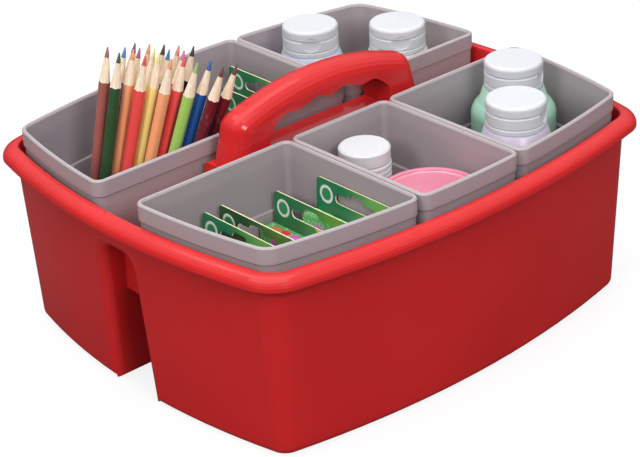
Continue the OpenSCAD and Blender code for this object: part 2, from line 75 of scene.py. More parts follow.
# %% [markdown]
# Materials and the studio are node trees. Written out in full, each node takes several lines,
# so the few steps that come back everywhere get a helper that adds the node, links it up and
# gives back the socket to go on with.

# %% Helper: patterns and sums
def noise(tree, coordinates, scale, detail):
    node = tree.nodes.new("ShaderNodeTexNoise")
    node.inputs["Scale"].default_value = scale
    node.inputs["Detail"].default_value = detail
    tree.links.new(coordinates, node.inputs["Vector"])
    return node.outputs["Fac"]


def remap(tree, value, low, high, out_low, out_high, smooth=False):
    node = tree.nodes.new("ShaderNodeMapRange")
    node.interpolation_type = "SMOOTHSTEP" if smooth else "LINEAR"
    node.inputs["From Min"].default_value = low
    node.inputs["From Max"].default_value = high
    node.inputs["To Min"].default_value = out_low
    node.inputs["To Max"].default_value = out_high
    tree.links.new(value, node.inputs["Value"])
    return node.outputs["Result"]


def patches(tree, coordinates, scale, detail, low=0.35, high=0.65):
    """Noise that is stretched to run from nought to one."""
    return remap(tree, noise(tree, coordinates, scale, detail), low, high, 0, 1)


def combine(tree, operation, a, b):
    node = tree.nodes.new("ShaderNodeMath")
    node.operation = operation
    for socket, value in zip(node.inputs, (a, b)):
        if isinstance(value, (int, float)):
            socket.default_value = value
        else:
            tree.links.new(value, socket)
    return node.outputs[0]


print("pattern helpers: noise, remap, patches, combine")

# %% Helper: mixes and axes
def mix_colours(tree, mask, first, second):
    node = tree.nodes.new("ShaderNodeMix")
    node.data_type = "RGBA"
    for socket, value in ((node.inputs[6], first), (node.inputs[7], second)):
        if isinstance(value, tuple):
            socket.default_value = (*value, 1)
        else:
            tree.links.new(value, socket)
    tree.links.new(mask, node.inputs[0])
    return node.outputs[2]


def mix_shaders(tree, mask, first, second):
    node = tree.nodes.new("ShaderNodeMixShader")
    for socket, value in zip(node.inputs, (mask, first, second)):
        tree.links.new(value, socket)
    return node.outputs[0]


def axes_of(tree, coordinates):
    node = tree.nodes.new("ShaderNodeSeparateXYZ")
    tree.links.new(coordinates, node.inputs[0])
    return node.outputs["X"], node.outputs["Y"], node.outputs["Z"]


print("mixing helpers: mix_colours, mix_shaders, axes_of")

# %% [markdown]
# A bmesh is only a draft. It is written into a mesh, and the mesh goes into an object at the
# origin, as every piece of the model is kept.

# %% Helper: from a draft to an object
def mesh_from(bm, name):
    mesh = bpy.data.meshes.new(name)
    bm.to_mesh(mesh)
    bm.free()
    return mesh


def object_from(mesh, name):
    piece = bpy.data.objects.new(name, mesh)
    bpy.context.scene.collection.objects.link(piece)
    return piece


print("object helpers: mesh_from, object_from")

# %% [markdown]
# The studio has three soft lamps. A large one overhead fills the cups, and a small one at each
# near side draws the long highlights on the rim. Square area lamps give soft shadow edges, which
# points or a sun wouldn't.

# %% Studio: lamps
def soft_light(name, place, aim, size, power):
    lamp = bpy.data.objects.new(name, bpy.data.lights.new(name, "AREA"))
    lamp.data.shape = "SQUARE"
    lamp.data.size = size
    lamp.data.energy = power
    lamp.location = place
    lamp.rotation_euler = (Vector(aim) - Vector(place)).to_track_quat("-Z", "Y").to_euler()
    bpy.context.scene.collection.objects.link(lamp)


soft_light("overhead", place=(-0.2, 0.15, 1.7), aim=(0, 0, 0.05), size=1.6, power=15)
soft_light("left", place=(-1.7, -0.4, 1.1), aim=(0, 0, 0.08), size=0.5, power=11)
soft_light("front", place=(-0.5, -1.7, 1.2), aim=(0, 0, 0.08), size=0.6, power=15)

# %% [markdown]
# To the camera the world is plain white. To the object it is a room that is dark near the floor
# and bright above, because an even white room would leave glossy plastic without any form.

# %% Studio: the world
dark_below, bright_above = (0.13, 0.13, 0.135, 1), (1.15, 1.16, 1.18, 1)
dark_until, bright_from = 0.15, 0.75
world = bpy.data.worlds.new("studio")
bpy.context.scene.world = world
world.use_nodes = True
tree = world.node_tree
ramp = tree.nodes.new("ShaderNodeValToRGB")
below, above = ramp.color_ramp.elements
below.position, below.color = dark_until, dark_below
above.position, above.color = bright_from, bright_above
height = axes_of(tree, tree.nodes.new("ShaderNodeTexCoord").outputs["Generated"])[2]
tree.links.new(height, ramp.inputs["Fac"])
room, white = tree.nodes["Background"], tree.nodes.new("ShaderNodeBackground")
tree.links.new(ramp.outputs["Color"], room.inputs["Color"])
room.inputs["Strength"].default_value = 1
white.inputs["Color"].default_value = (1, 1, 1, 1)
seen = tree.nodes.new("ShaderNodeLightPath").outputs["Is Camera Ray"]
tree.links.new(mix_shaders(tree, seen, room.outputs[0], white.outputs[0]),
               tree.nodes["World Output"].inputs["Surface"])
print("world:", world.name, "with", len(tree.nodes), "nodes")

# %% [markdown]
# The floor is pale paper. To the camera it is mostly white light, but it keeps a share of its
# own shading, so that the shadow under the caddy stays. It is darker in what it throws back onto
# the object, and darker still in reflections, because a white floor would lay a grey veil over
# the glossy red walls.

# %% Studio: the floor
floor_half, white_share = 3, 0.8
tone_as_light, tone_to_camera, tone_in_gloss = (0.16,) * 3, (0.9,) * 3, (0.06,) * 3
bm = bmesh.new()
bmesh.ops.create_grid(bm, x_segments=1, y_segments=1, size=floor_half)
floor = object_from(mesh_from(bm, "floor"), "floor")
paper = bpy.data.materials.new("paper_floor")
paper.use_nodes = True
tree = paper.node_tree
matt, glow = tree.nodes["Principled BSDF"], tree.nodes.new("ShaderNodeEmission")
matt.inputs["Roughness"].default_value = 0.9
glow.inputs["Strength"].default_value = 1
ray = tree.nodes.new("ShaderNodeLightPath")
tone = mix_colours(tree, ray.outputs["Is Camera Ray"], tone_as_light, tone_to_camera)
tone = mix_colours(tree, ray.outputs["Is Glossy Ray"], tone, tone_in_gloss)
tree.links.new(tone, matt.inputs["Base Color"])
share = combine(tree, "MULTIPLY", ray.outputs["Is Camera Ray"], white_share)
tree.links.new(mix_shaders(tree, share, matt.outputs[0], glow.outputs[0]),
               tree.nodes["Material Output"].inputs["Surface"])
floor.data.materials.append(paper)
print("floor:", 2 * floor_half, "m wide")

# %% [markdown]
# Moulded plastic is never perfectly smooth. A shallow waviness bends its reflections and a
# finer grain dulls them here and there. The effect could be built into each material, but every
# plastic here shares it, so it is a node group: it puts out a roughness that varies and a
# height for a Bump node.

# %% Group: moulded skin
wave_scale, grain_scale, handling_scale, grain_height = 22, 900, 38, 0.02
skin = bpy.data.node_groups.new("moulded_skin", "ShaderNodeTree")
skin.interface.new_socket("Vector", in_out="INPUT", socket_type="NodeSocketVector")
for label, value in (("Roughness", 0.3), ("Spread", 0.08)):
    socket = skin.interface.new_socket(label, in_out="INPUT", socket_type="NodeSocketFloat")
    socket.default_value = value
for label in ("Roughness", "Height"):
    skin.interface.new_socket(label, in_out="OUTPUT", socket_type="NodeSocketFloat")
skin_in, skin_out = skin.nodes.new("NodeGroupInput"), skin.nodes.new("NodeGroupOutput")

waves = noise(skin, skin_in.outputs["Vector"], wave_scale, detail=1)
grain = noise(skin, skin_in.outputs["Vector"], grain_scale, detail=3)
handling = noise(skin, skin_in.outputs["Vector"], handling_scale, detail=4)
swing = combine(skin, "MULTIPLY", combine(skin, "SUBTRACT", handling, 0.5),
                skin_in.outputs["Spread"])
skin.links.new(combine(skin, "ADD", skin_in.outputs["Roughness"], swing),
               skin_out.inputs["Roughness"])
skin.links.new(combine(skin, "ADD", waves, combine(skin, "MULTIPLY", grain, grain_height)),
               skin_out.inputs["Height"])
print("group", skin.name, "with", len(skin.nodes), "nodes")

# %% [markdown]
# A plastic material reads Object coordinates, takes the skin group's roughness and height,
# and shifts its colour a little from place to place. Values that are the same all over, such
# as the coat, are set on the shader's own sockets.

# %% Helper: materials with a skin
def start_material(name):
    material = bpy.data.materials.new(name)
    material.use_nodes = True
    return material, material.node_tree, material.node_tree.nodes["Principled BSDF"]


def object_coordinates(tree):
    return tree.nodes.new("ShaderNodeTexCoord").outputs["Object"]


def add_skin(tree, bsdf, coordinates, roughness, spread, depth):
    node = tree.nodes.new("ShaderNodeGroup")
    node.node_tree = skin
    node.inputs["Roughness"].default_value = roughness
    node.inputs["Spread"].default_value = spread
    tree.links.new(coordinates, node.inputs["Vector"])
    tree.links.new(node.outputs["Roughness"], bsdf.inputs["Roughness"])
    bump = tree.nodes.new("ShaderNodeBump")
    bump.inputs["Distance"].default_value = depth
    bump.inputs["Strength"].default_value = 1
    tree.links.new(node.outputs["Height"], bump.inputs["Height"])
    tree.links.new(bump.outputs["Normal"], bsdf.inputs["Normal"])


print("material helpers: start_material, object_coordinates, add_skin")

# %% Helper: a plastic, and dressing a CAD node
def plastic(name, colour, shade, roughness, spread=0.08, depth=0.12 * mm, coat=0.0, glow=0.0,
            shine=0.5):
    material, tree, bsdf = start_material(name)
    place = object_coordinates(tree)
    mottle = patches(tree, place, scale=14, detail=3)
    tree.links.new(mix_colours(tree, mottle, colour, shade), bsdf.inputs["Base Color"])
    add_skin(tree, bsdf, place, roughness, spread, depth)
    bsdf.inputs["Specular IOR Level"].default_value = shine
    bsdf.inputs["Coat Weight"].default_value = coat
    bsdf.inputs["Coat Roughness"].default_value = 0.08
    bsdf.inputs["Subsurface Weight"].default_value = glow
    bsdf.inputs["Subsurface Scale"].default_value = 4 * mm
    return material


def dress(node, material):
    """Give a CAD node its material, in the slot that it already has or in a new one."""
    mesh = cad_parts[node].data
    if len(mesh.materials):
        mesh.materials[0] = material
    else:
        mesh.materials.append(material)
    print(node, "wears", material.name)


print("plastic helpers: plastic, dress")

# %% [markdown]
# The caddy is one large moulding of bright red plastic, the same inside and out. Its mesh is
# already right, so it only needs a skin: a thin coat gives the rolled rim its crisp highlights,
# and the plastic under it shines weakly, so that the walls keep their colour.

# %% Caddy: glossy red plastic
red = plastic("red_plastic", (0.57, 0.019, 0.020), (0.53, 0.017, 0.018), roughness=0.17,
              coat=0.2, shine=0.2, glow=0.06)
dress("caddy", red)

# %% [markdown]
# The cups are a warm grey plastic with a satin face. Their lip band is painted a little paler,
# a painted highlight where the band catches the light, and the thin rim at the very top is paler
# again, a painted highlight line along its edge. Both follow from the height above the table, so
# one material serves all five cups.

# %% Cups: satin grey plastic
lip_highlight_from, lip_highlight_to, rim_highlight_from, rim_highlight_to = 116.5 * mm, 122.5 * mm, 128.4 * mm, 129.1 * mm
cup_grey, tree, bsdf = start_material("cup_plastic")
place = object_coordinates(tree)
height = axes_of(tree, place)[2]
mottle = patches(tree, place, scale=9, detail=3)
wall = mix_colours(tree, mottle, (0.335, 0.285, 0.30), (0.31, 0.262, 0.278))
# Painted highlight: the lip band is painted paler, where it catches the light.
lip_highlight = remap(tree, height, lip_highlight_from, lip_highlight_to, 0, 1, smooth=True)
with_lip_highlight = mix_colours(tree, lip_highlight, wall, (0.355, 0.305, 0.32))
# Painted highlight: a thin paler line along the top of the rim.
rim_highlight = remap(tree, height, rim_highlight_from, rim_highlight_to, 0, 1, smooth=True)
tree.links.new(mix_colours(tree, rim_highlight, with_lip_highlight, (0.39, 0.345, 0.355)), bsdf.inputs["Base Color"])
add_skin(tree, bsdf, place, roughness=0.34, spread=0.1, depth=0.1 * mm)
for cup in ("back_long", "back_corner", "front_left", "front_middle", "front_right"):
    dress("cup_" + cup, cup_grey)

# %% [markdown]
# Round pieces with soft shoulders are turned, as on a lathe: a profile of radius and height is
# spun once about Z. A stack of cylinders would need a bevel at every joint, while a profile
# takes an arc wherever the real piece is rounded.

# %% Helper: turned pieces
turn_steps = 72


def turned(profile, steps):
    bm = bmesh.new()
    points = [bm.verts.new((r, 0, z)) for r, z in profile]
    edges = [bm.edges.new(pair) for pair in zip(points, points[1:])]
    bmesh.ops.spin(bm, geom=points + edges, cent=(0, 0, 0), axis=(0, 0, 1), angle=2 * math.pi,
                   steps=steps, use_merge=True)
    bmesh.ops.remove_doubles(bm, verts=bm.verts, dist=1e-6)
    bmesh.ops.recalc_face_normals(bm, faces=bm.faces)
    return bm


def arc(centre_r, centre_z, radius, start, end, steps):
    """Points of an arc in a profile, at angles in degrees from the outward direction."""
    angles = [math.radians(start + (end - start) * i / steps) for i in range(steps + 1)]
    return [(centre_r + radius * math.cos(a), centre_z + radius * math.sin(a)) for a in angles]


def stand_in_for(node, body, profile, material):
    """Turn a piece on the axis of a round CAD node, from heights above that node's foot."""
    low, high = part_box(node)
    bm = turned(profile, turn_steps)
    bmesh.ops.translate(bm, verts=bm.verts,
                        vec=((low.x + high.x) / 2, (low.y + high.y) / 2, low.z))
    mesh = mesh_from(bm, node)
    for face in mesh.polygons:
        face.use_smooth = True
    mesh.materials.append(material)
    piece = object_from(mesh, "turned_" + node)
    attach(piece, body)
    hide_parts(node)
    print(piece.name, "has", len(mesh.polygons), "faces")


print("turning helpers: turned, arc, stand_in_for")

# %% [markdown]
# Paint bottles are soft squeeze bottles with a hollow foot and a round shoulder. A cylinder
# with bevelled ends would come close, but the long curve of the shoulder is what the eye sees
# first, so the bottle is turned from one profile. Its collar and flip lid keep their meshes.

# %% Bottles: the profile
low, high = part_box("bottle_blue")
bottle_r, neck_r, foot_r, shoulder_r = 26.5 * mm, 16 * mm, 3.5 * mm, 11 * mm
shoulder_foot, shoulder_top = 99 * mm, 117.2 * mm
foot_low, bottle_top = 0.05 * mm, high.z - low.z - 0.5 * mm
bottle_profile = (
    [(0, 3 * mm), (14 * mm, 2.6 * mm), (20 * mm, foot_low)]
    + arc(bottle_r - foot_r, foot_low + foot_r, foot_r, start=-90, end=0, steps=6)
    + arc(bottle_r - shoulder_r, shoulder_foot, shoulder_r, start=0, end=55, steps=12)
    + [(18.9 * mm, shoulder_top - 0.9 * mm), (18 * mm, shoulder_top),
       (neck_r, shoulder_top), (neck_r, bottle_top), (0, bottle_top)])
print("bottle profile:", len(bottle_profile), "points, top at", round(bottle_top / mm, 1), "mm")

# %% [markdown]
# The bottles are milky, and the paint inside tints them. Scattering under the surface gives that
# soft look without a hollow shell. The colour fades to the paler one towards the shoulder, where
# the paint ends, and slow streaks stand for paint that clings to the wall.

# %% Bottles, collars and flip lids
fill_from, fill_to = 75 * mm, 118 * mm
tints = {"blue": ((0.30, 0.42, 0.66), (0.43, 0.48, 0.61)),
         "yellow": ((0.72, 0.64, 0.27), (0.60, 0.58, 0.44)),
         "green": ((0.20, 0.44, 0.32), (0.34, 0.55, 0.43)),
         "lilac": ((0.46, 0.36, 0.55), (0.50, 0.44, 0.54))}
cap_white = plastic("cap_white", (0.60, 0.61, 0.63), (0.56, 0.57, 0.60), roughness=0.38,
                    spread=0.06, depth=0.06 * mm, glow=0.12)
for tint, (deep, pale) in tints.items():
    milky, tree, bsdf = start_material("bottle_" + tint)
    place = object_coordinates(tree)
    streak = remap(tree, noise(tree, place, scale=16, detail=2), 0.3, 0.75, 0, 0.5, smooth=True)
    paint = mix_colours(tree, streak, deep, pale)
    fill = remap(tree, axes_of(tree, place)[2], fill_from, fill_to, 0, 1, smooth=True)
    tree.links.new(mix_colours(tree, fill, paint, pale), bsdf.inputs["Base Color"])
    add_skin(tree, bsdf, place, roughness=0.28, spread=0.08, depth=0.1 * mm)
    bsdf.inputs["Subsurface Weight"].default_value = 0.35
    bsdf.inputs["Subsurface Scale"].default_value = 6 * mm
    stand_in_for("bottle_" + tint, "bottle_%s_body" % tint, bottle_profile,
                 milky)
    dress("collar_" + tint, cap_white)
    dress("flip_lid_" + tint, cap_white)

# %% [markdown]
# The dough pot has a glossy pink lid with a raised ring round a shallow dish. That ring is too
# fine for the construction model, so the lid is turned. The white pot, the glue dauber and its
# ribbed cap are already right and only get a chalky white plastic.

# %% Pot and dauber
low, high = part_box("dough_lid")
lid_r, lid_h = (high.x - low.x) / 2 - 0.05 * mm, high.z - low.z
dish, skirt_t, edge_r, ring_r = lid_h - 1.9 * mm, 1.4 * mm, 1.5 * mm, 0.7 * mm
lid_profile = (
    [(lid_r - skirt_t, 0.4 * mm), (lid_r - skirt_t, 0), (lid_r, 0), (lid_r, 0.4 * mm)]
    + arc(lid_r - edge_r, lid_h - edge_r, edge_r, start=0, end=90, steps=6)
    + arc(lid_r - 2.8 * mm, lid_h - ring_r, ring_r, start=90, end=180, steps=4)
    + [(lid_r - 3.6 * mm, dish + 0.3 * mm), (lid_r - 4.4 * mm, dish), (lid_r - 6.6 * mm, dish),
       (lid_r - 7.3 * mm, dish + 0.5 * mm), (lid_r - 8.2 * mm, dish + 0.7 * mm),
       (0, dish + 1.3 * mm)])
pink = plastic("pink_lid", (0.68, 0.22, 0.31), (0.64, 0.19, 0.28), roughness=0.24, coat=0.2,
               glow=0.15)
chalk = plastic("dauber_white", (0.60, 0.61, 0.62), (0.57, 0.58, 0.60), roughness=0.42,
                spread=0.06, depth=0.06 * mm, glow=0.12)
stand_in_for("dough_lid", "dough_lid_body", lid_profile, pink)
for node in ("dough_pot", "dauber_bottle", "dauber_cap"):
    dress(node, chalk)

# %% [markdown]
# Pencils and packs are cut: one new piece by another, with an exact Boolean whose result is
# made a plain mesh at once. Their straight edges are softened with a bevel, because no real
# edge is perfectly sharp.

# %% Helper: cuts and soft edges
def cut(keep, tool, operation):
    step = keep.modifiers.new("cut", "BOOLEAN")
    step.object = tool
    step.operation = operation
    step.solver = "EXACT"
    done = bpy.data.meshes.new_from_object(
        keep.evaluated_get(bpy.context.evaluated_depsgraph_get()))
    bpy.data.objects.remove(tool)
    bpy.data.objects.remove(keep)
    return done


x_axis, z_axis = 0, 2


def edges_along(bm, axis, longer_than, above=-1.0):
    """Edges that run along an axis and start above a height. A metre below nought takes all."""
    return [e for e in bm.edges if abs(e.verts[0].co[axis] - e.verts[1].co[axis]) > longer_than
            and e.verts[0].co.z > above]


def soften(bm, edges, offset, segments):
    bmesh.ops.bevel(bm, geom=edges, offset=offset, affect="EDGES", segments=segments,
                    profile=0.5, material=-1)


print("cutting helpers: cut, edges_along, soften")

# %% [markdown]
# A pencil is a six-sided shaft that is sharpened to a cone. Where the cone meets the flat
# sides, the paint ends in scallops. They could be painted on, but the piece is made as the
# real one is: a six-sided bar with softened corners, and then a cut.

# %% Pencil: the six-sided shaft
pencil_length, pencil_flats, point_length = 175 * mm, 6.7 * mm, 23 * mm
core_length, core_r, tip_r = 6.5 * mm, 1.45 * mm, 0.4 * mm
coats = [bpy.data.materials.new("pencil_" + name) for name in ("paint", "wood", "core")]
paint_slot, wood_slot, core_slot = 0, 1, 2
bm = bmesh.new()
bmesh.ops.create_cone(bm, segments=6, radius1=pencil_flats / math.sqrt(3),
                      radius2=pencil_flats / math.sqrt(3), depth=pencil_length, cap_ends=True)
bmesh.ops.translate(bm, verts=bm.verts, vec=(0, 0, pencil_length / 2))
soften(bm, edges_along(bm, z_axis, longer_than=0.1), offset=1.25 * mm, segments=4)
shaft = object_from(mesh_from(bm, "shaft"), "shaft")
print("shaft:", len(shaft.data.polygons), "faces")

# %% [markdown]
# The cut keeps what lies inside a turned shape that ends in a cone. Every face remembers which
# solid it came from: faces of the bar are paint, and those of the cone and the blunt end are
# wood, up to the coloured core. One pencil is made, and each place gets a copy of it.

# %% Pencil: the turned point, and the cut
cone_low, core_low, point_steps = pencil_length - point_length, pencil_length - core_length, 40
point_profile = [
    (0, 0), (3.3 * mm, 0), (3.9 * mm, 0.6 * mm), (5 * mm, 3 * mm), (5 * mm, cone_low - 7.1 * mm),
    (3.87 * mm, cone_low), (3.3 * mm, cone_low + 1.3 * mm), (core_r, core_low),
    (tip_r, pencil_length - 0.3 * mm), (0, pencil_length)]
bm = turned(point_profile, point_steps)
for face in bm.faces:
    middle = face.calc_center_median().z
    if middle > core_low:
        face.material_index = core_slot
    elif middle > cone_low - 10 * mm or middle < 2 * mm:
        face.material_index = wood_slot
point = object_from(mesh_from(bm, "point"), "point")
for piece in (shaft, point):
    for coat in coats:
        piece.data.materials.append(coat)
pencil_mesh = cut(shaft, point, "INTERSECT")
print("pencil mesh:", len(pencil_mesh.polygons), "faces")

# %% [markdown]
# A pattern that follows a leaning pencil can't read Object coordinates, whose axes stay with
# the table. Before a copy is leaned and moved, each point's place on the upright pencil is
# kept in an attribute called own, and wood grain and wear read that.

# %% Helper: each point's own place
def keep_own_place(mesh):
    own = mesh.attributes.new("own", "FLOAT_VECTOR", "POINT")
    for point in mesh.vertices:
        own.data[point.index].vector = point.co


def own_place(tree):
    node = tree.nodes.new("ShaderNodeAttribute")
    node.attribute_name = "own"
    return node.outputs["Vector"]


print("place helpers: keep_own_place, own_place")

# %% [markdown]
# The sharpened wood is pale, with fine fibres along the pencil. A wave texture would draw even
# stripes, so the fibres are a noise whose long axis is shrunk by a Mapping node. That draws the
# spots out into streaks of uneven length, as a blade leaves them.

# %% Pencil: wood
fibre_scale, fibre_stretch = 1400, (1, 1, 0.06)
wood, tree, bsdf = start_material("pencil_wood_cut")
stretched = tree.nodes.new("ShaderNodeMapping")
stretched.inputs["Scale"].default_value = fibre_stretch
tree.links.new(own_place(tree), stretched.inputs["Vector"])
fibres = patches(tree, stretched.outputs["Vector"], fibre_scale, detail=4, high=0.68)
tree.links.new(mix_colours(tree, fibres, (0.90, 0.77, 0.60), (0.76, 0.58, 0.41)),
               bsdf.inputs["Base Color"])
bsdf.inputs["Roughness"].default_value = 0.7
rough = tree.nodes.new("ShaderNodeBump")
rough.inputs["Distance"].default_value = 0.2 * mm
tree.links.new(fibres, rough.inputs["Height"])
tree.links.new(rough.outputs["Normal"], bsdf.inputs["Normal"])
print("material", wood.name, "with", len(tree.nodes), "nodes")

# %% [markdown]
# The shaft has a glossy lacquer, worn pale in a few small spots. The core is the same colour,
# but waxy: a little darker, with a soft gloss that comes and goes. So one colour makes both.

# %% Pencil: paint and core
def paint_and_core(name, colour):
    paint, tree, bsdf = start_material("paint_" + name)
    place = own_place(tree)
    worn = remap(tree, noise(tree, place, scale=260, detail=5), 0.66, 0.74, 0, 0.35)
    chalky = tuple(0.55 * c + 0.25 for c in colour)
    tree.links.new(mix_colours(tree, worn, colour, chalky), bsdf.inputs["Base Color"])
    add_skin(tree, bsdf, place, roughness=0.12, spread=0.06, depth=0.02 * mm)
    bsdf.inputs["Coat Weight"].default_value = 0.4
    bsdf.inputs["Coat Roughness"].default_value = 0.1
    core, tree, bsdf = start_material("core_" + name)
    rubbed = patches(tree, own_place(tree), scale=900, detail=3, low=0.4)
    waxy = tuple(0.75 * c + 0.03 for c in colour)
    tree.links.new(mix_colours(tree, rubbed, waxy, tuple(0.8 * c for c in waxy)),
                   bsdf.inputs["Base Color"])
    tree.links.new(remap(tree, rubbed, 0, 1, 0.45, 0.65), bsdf.inputs["Roughness"])
    return paint, core


pencil_colours = {
    "brown": (0.38, 0.11, 0.09), "dark_green": (0.03, 0.085, 0.03), "orange": (0.98, 0.38, 0.18),
    "red": (0.88, 0.08, 0.07), "yellow": (0.98, 0.84, 0.27), "light_green": (0.36, 0.62, 0.13),
    "navy": (0.02, 0.10, 0.38), "maroon": (0.16, 0.012, 0.02), "blue": (0.05, 0.22, 0.58),
    "purple": (0.24, 0.05, 0.22), "mauve": (0.42, 0.12, 0.24), "black": (0.012, 0.012, 0.014),
    "pink": (0.85, 0.16, 0.38), "salmon": (0.85, 0.27, 0.22)}
pencil_paints = {name: paint_and_core(name, colour) for name, colour in pencil_colours.items()}
print("pencil colours:", len(pencil_paints))

# %% [markdown]
# The pencils stand in one cup in two ranks that lean to the right and forwards. Each could have
# a place of its own, but a few steps per rank give them all: where the first foot stands, the
# step to the next, a zigzag for every second one, and a lean that fans out along the rank.
# Feet are in millimetres and leans in degrees, each as right and back.

# %% Pencils: two ranks
cup_floor, half_flats = 5, 3.35
ranks = {
    "front": dict(foot=(-117.8, 97.6), step=(3.35, -3.1), zigzag=(-4.5, -4.9), lean=(7.8, -6.8),
                  fan=(0.48, -1.05),
                  colours=["brown", "dark_green", "orange", "red", "yellow", "orange", "red",
                           "light_green", "navy", "maroon", "maroon"]),
    "back": dict(foot=(-113.2, 109.8), step=(2.7, -3.16), zigzag=(5.4, 4.7), lean=(10.1, -11.5),
                 fan=(0, -0.15),
                 colours=["blue", "purple", "mauve", "orange", "yellow", "black", "blue",
                          "salmon", "pink", "black"])}
for rank, rule in ranks.items():
    for i, colour in enumerate(rule["colours"]):
        x, y = [rule["foot"][k] + i * rule["step"][k] + (i % 2) * rule["zigzag"][k]
                for k in (0, 1)]
        right, back = [rule["lean"][k] + i * rule["fan"][k] for k in (0, 1)]
        lift = cup_floor + half_flats * math.sin(math.radians(math.hypot(right, back)))
        mesh = pencil_mesh.copy()
        mesh.name = "coloured_pencil"
        keep_own_place(mesh)
        mesh.transform(Matrix.Translation((x * mm, y * mm, lift * mm))
                       @ Matrix.Rotation(math.radians(right), 4, "Y")
                       @ Matrix.Rotation(math.radians(-back), 4, "X")
                       @ Matrix.Rotation(math.radians(17 * i % 60), 4, "Z"))
        paint, core = pencil_paints[colour]
        for slot, material in enumerate((paint, wood, core)):
            mesh.materials[slot] = material
        for face in mesh.polygons:
            face.use_smooth = face.material_index != paint_slot
        node = "pencil_%s_%d" % (rank, i + 1)
        piece = object_from(mesh, node.replace("pencil", "coloured_pencil"))
        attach(piece, node + "_body")
        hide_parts(node)
print("pencils:", sum(len(rule["colours"]) for rule in ranks.values()))

# %% [markdown]
# A crayon pack is a folded carton with a tall card at its back, which has a slot to hang it
# by. The card is a thin plate whose top corners are rounded, and the slot is cut out of it:
# a long round-ended slit with a hump in the middle, joined before the cut.

# %% Crayon pack: the card and its slot
pack_w, pack_t, card_t, tab_h = 66 * mm, 11.8 * mm, 0.8 * mm, 20.5 * mm
slit_half, slit_r, hump_half, hump_h = 17 * mm, 3 * mm, 6.5 * mm, 6 * mm
slot_drop, card_corner, tuck = 9 * mm, 3 * mm, 5 * mm


def block(bm, low, high):
    made = bmesh.ops.create_cube(bm, size=1)["verts"]
    bmesh.ops.scale(bm, vec=[h - l for l, h in zip(low, high)], verts=made)
    bmesh.ops.translate(bm, vec=[(l + h) / 2 for l, h in zip(low, high)], verts=made)


def hanging_slot(height):
    bm = bmesh.new()
    block(bm, (-2 * mm, -slit_half, height - slit_r), (2 * mm, slit_half, height + slit_r))
    soften(bm, edges_along(bm, x_axis, longer_than=1 * mm), slit_r - 0.02 * mm, segments=8)
    slit = object_from(mesh_from(bm, "slit"), "slit")
    bm = bmesh.new()
    block(bm, (-3 * mm, -hump_half, height - 1 * mm), (3 * mm, hump_half, height + hump_h))
    soften(bm, edges_along(bm, x_axis, longer_than=1 * mm, above=height), 3.4 * mm, segments=6)
    hump = object_from(mesh_from(bm, "hump"), "hump")
    return object_from(cut(slit, hump, "UNION"), "slot")


def tab_card(carton_h):
    top = carton_h + tab_h
    bm = bmesh.new()
    block(bm, (-card_t, -pack_w / 2, carton_h - tuck), (0, pack_w / 2, top))
    soften(bm, edges_along(bm, x_axis, longer_than=0.5 * mm, above=carton_h), card_corner,
           segments=6)
    card = object_from(mesh_from(bm, "card"), "card")
    return cut(card, hanging_slot(top - slot_drop), "DIFFERENCE")


print("card:", round(pack_w / mm), "mm wide,", round((tab_h + tuck) / mm, 1), "mm tall")

# %% [markdown]
# The carton is a box with a tuck-in flap along its top. An inset sinks the flap, and a small
# bevel softens every fold, because printed board bends over a radius and never to a knife edge.

# %% Crayon pack: the carton
flap_edge, flap_depth, fold_r, fold_angle = 0.5 * mm, 0.3 * mm, 0.35 * mm, 1.2


def carton(carton_h):
    bm = bmesh.new()
    block(bm, (-pack_t, -pack_w / 2, 0), (-card_t - 0.02 * mm, pack_w / 2, carton_h))
    flap = [f for f in bm.faces if f.normal.z > 0.9]
    bmesh.ops.inset_region(bm, faces=flap, thickness=flap_edge, depth=-flap_depth)
    folds = [e for e in bm.edges if e.calc_face_angle(0) > fold_angle]
    soften(bm, folds, fold_r, segments=2)
    return mesh_from(bm, "carton")


print("carton:", round(pack_t / mm, 1), "mm thick with its card")

# %% [markdown]
# Print is paint in a material. It is drawn from soft-edged ovals at places on the upright pack,
# which stay sharp at any size, as a painted image wouldn't. The card is green, brighter to one
# side, with a plain ring near its corner. Its cut edges keep the cream colour of the board.

# %% Print: the card and its cut edges
edge_card, tree, bsdf = start_material("card_edge")
fluff = patches(tree, own_place(tree), scale=2500, detail=3)
tree.links.new(mix_colours(tree, fluff, (0.80, 0.74, 0.50), (0.62, 0.56, 0.36)),
               bsdf.inputs["Base Color"])
bsdf.inputs["Roughness"].default_value = 0.85


def oval(tree, across, up, middle, low, wide, tall):
    """A soft-edged oval on two axes: one inside, nought outside."""
    y = combine(tree, "MULTIPLY", combine(tree, "SUBTRACT", across, middle), 1 / wide)
    z = combine(tree, "MULTIPLY", combine(tree, "SUBTRACT", up, low), 1 / tall)
    square = combine(tree, "ADD", combine(tree, "MULTIPLY", y, y),
                     combine(tree, "MULTIPLY", z, z))
    return remap(tree, square, 0.85, 1.1, 1, 0, smooth=True)


def card_print(name, carton_h, bright, dark, ovals):
    printed, tree, bsdf = start_material("card_print_" + name)
    place = own_place(tree)
    _, across, up = axes_of(tree, place)
    ragged = combine(tree, "MULTIPLY", noise(tree, place, scale=35, detail=2), 20 * mm)
    drift = combine(tree, "ADD", across, ragged)
    side = remap(tree, drift, -12 * mm, 26 * mm, 1, 0, smooth=True)
    shade = mix_colours(tree, side, dark, bright)
    for middle, low, wide, tall, colour in ovals:
        mask = oval(tree, across, up, middle * mm, carton_h + low * mm, wide * mm, tall * mm)
        shade = mix_colours(tree, mask, shade, colour)
    tree.links.new(shade, bsdf.inputs["Base Color"])
    add_skin(tree, bsdf, place, roughness=0.26, spread=0.08, depth=0.05 * mm)
    return printed


print("print helpers: oval, card_print")

# %% [markdown]
# The carton is green with pale flecks at one side. A row of coloured ovals lies on its top and
# two more rows on its front, so that it says what is inside without a word.

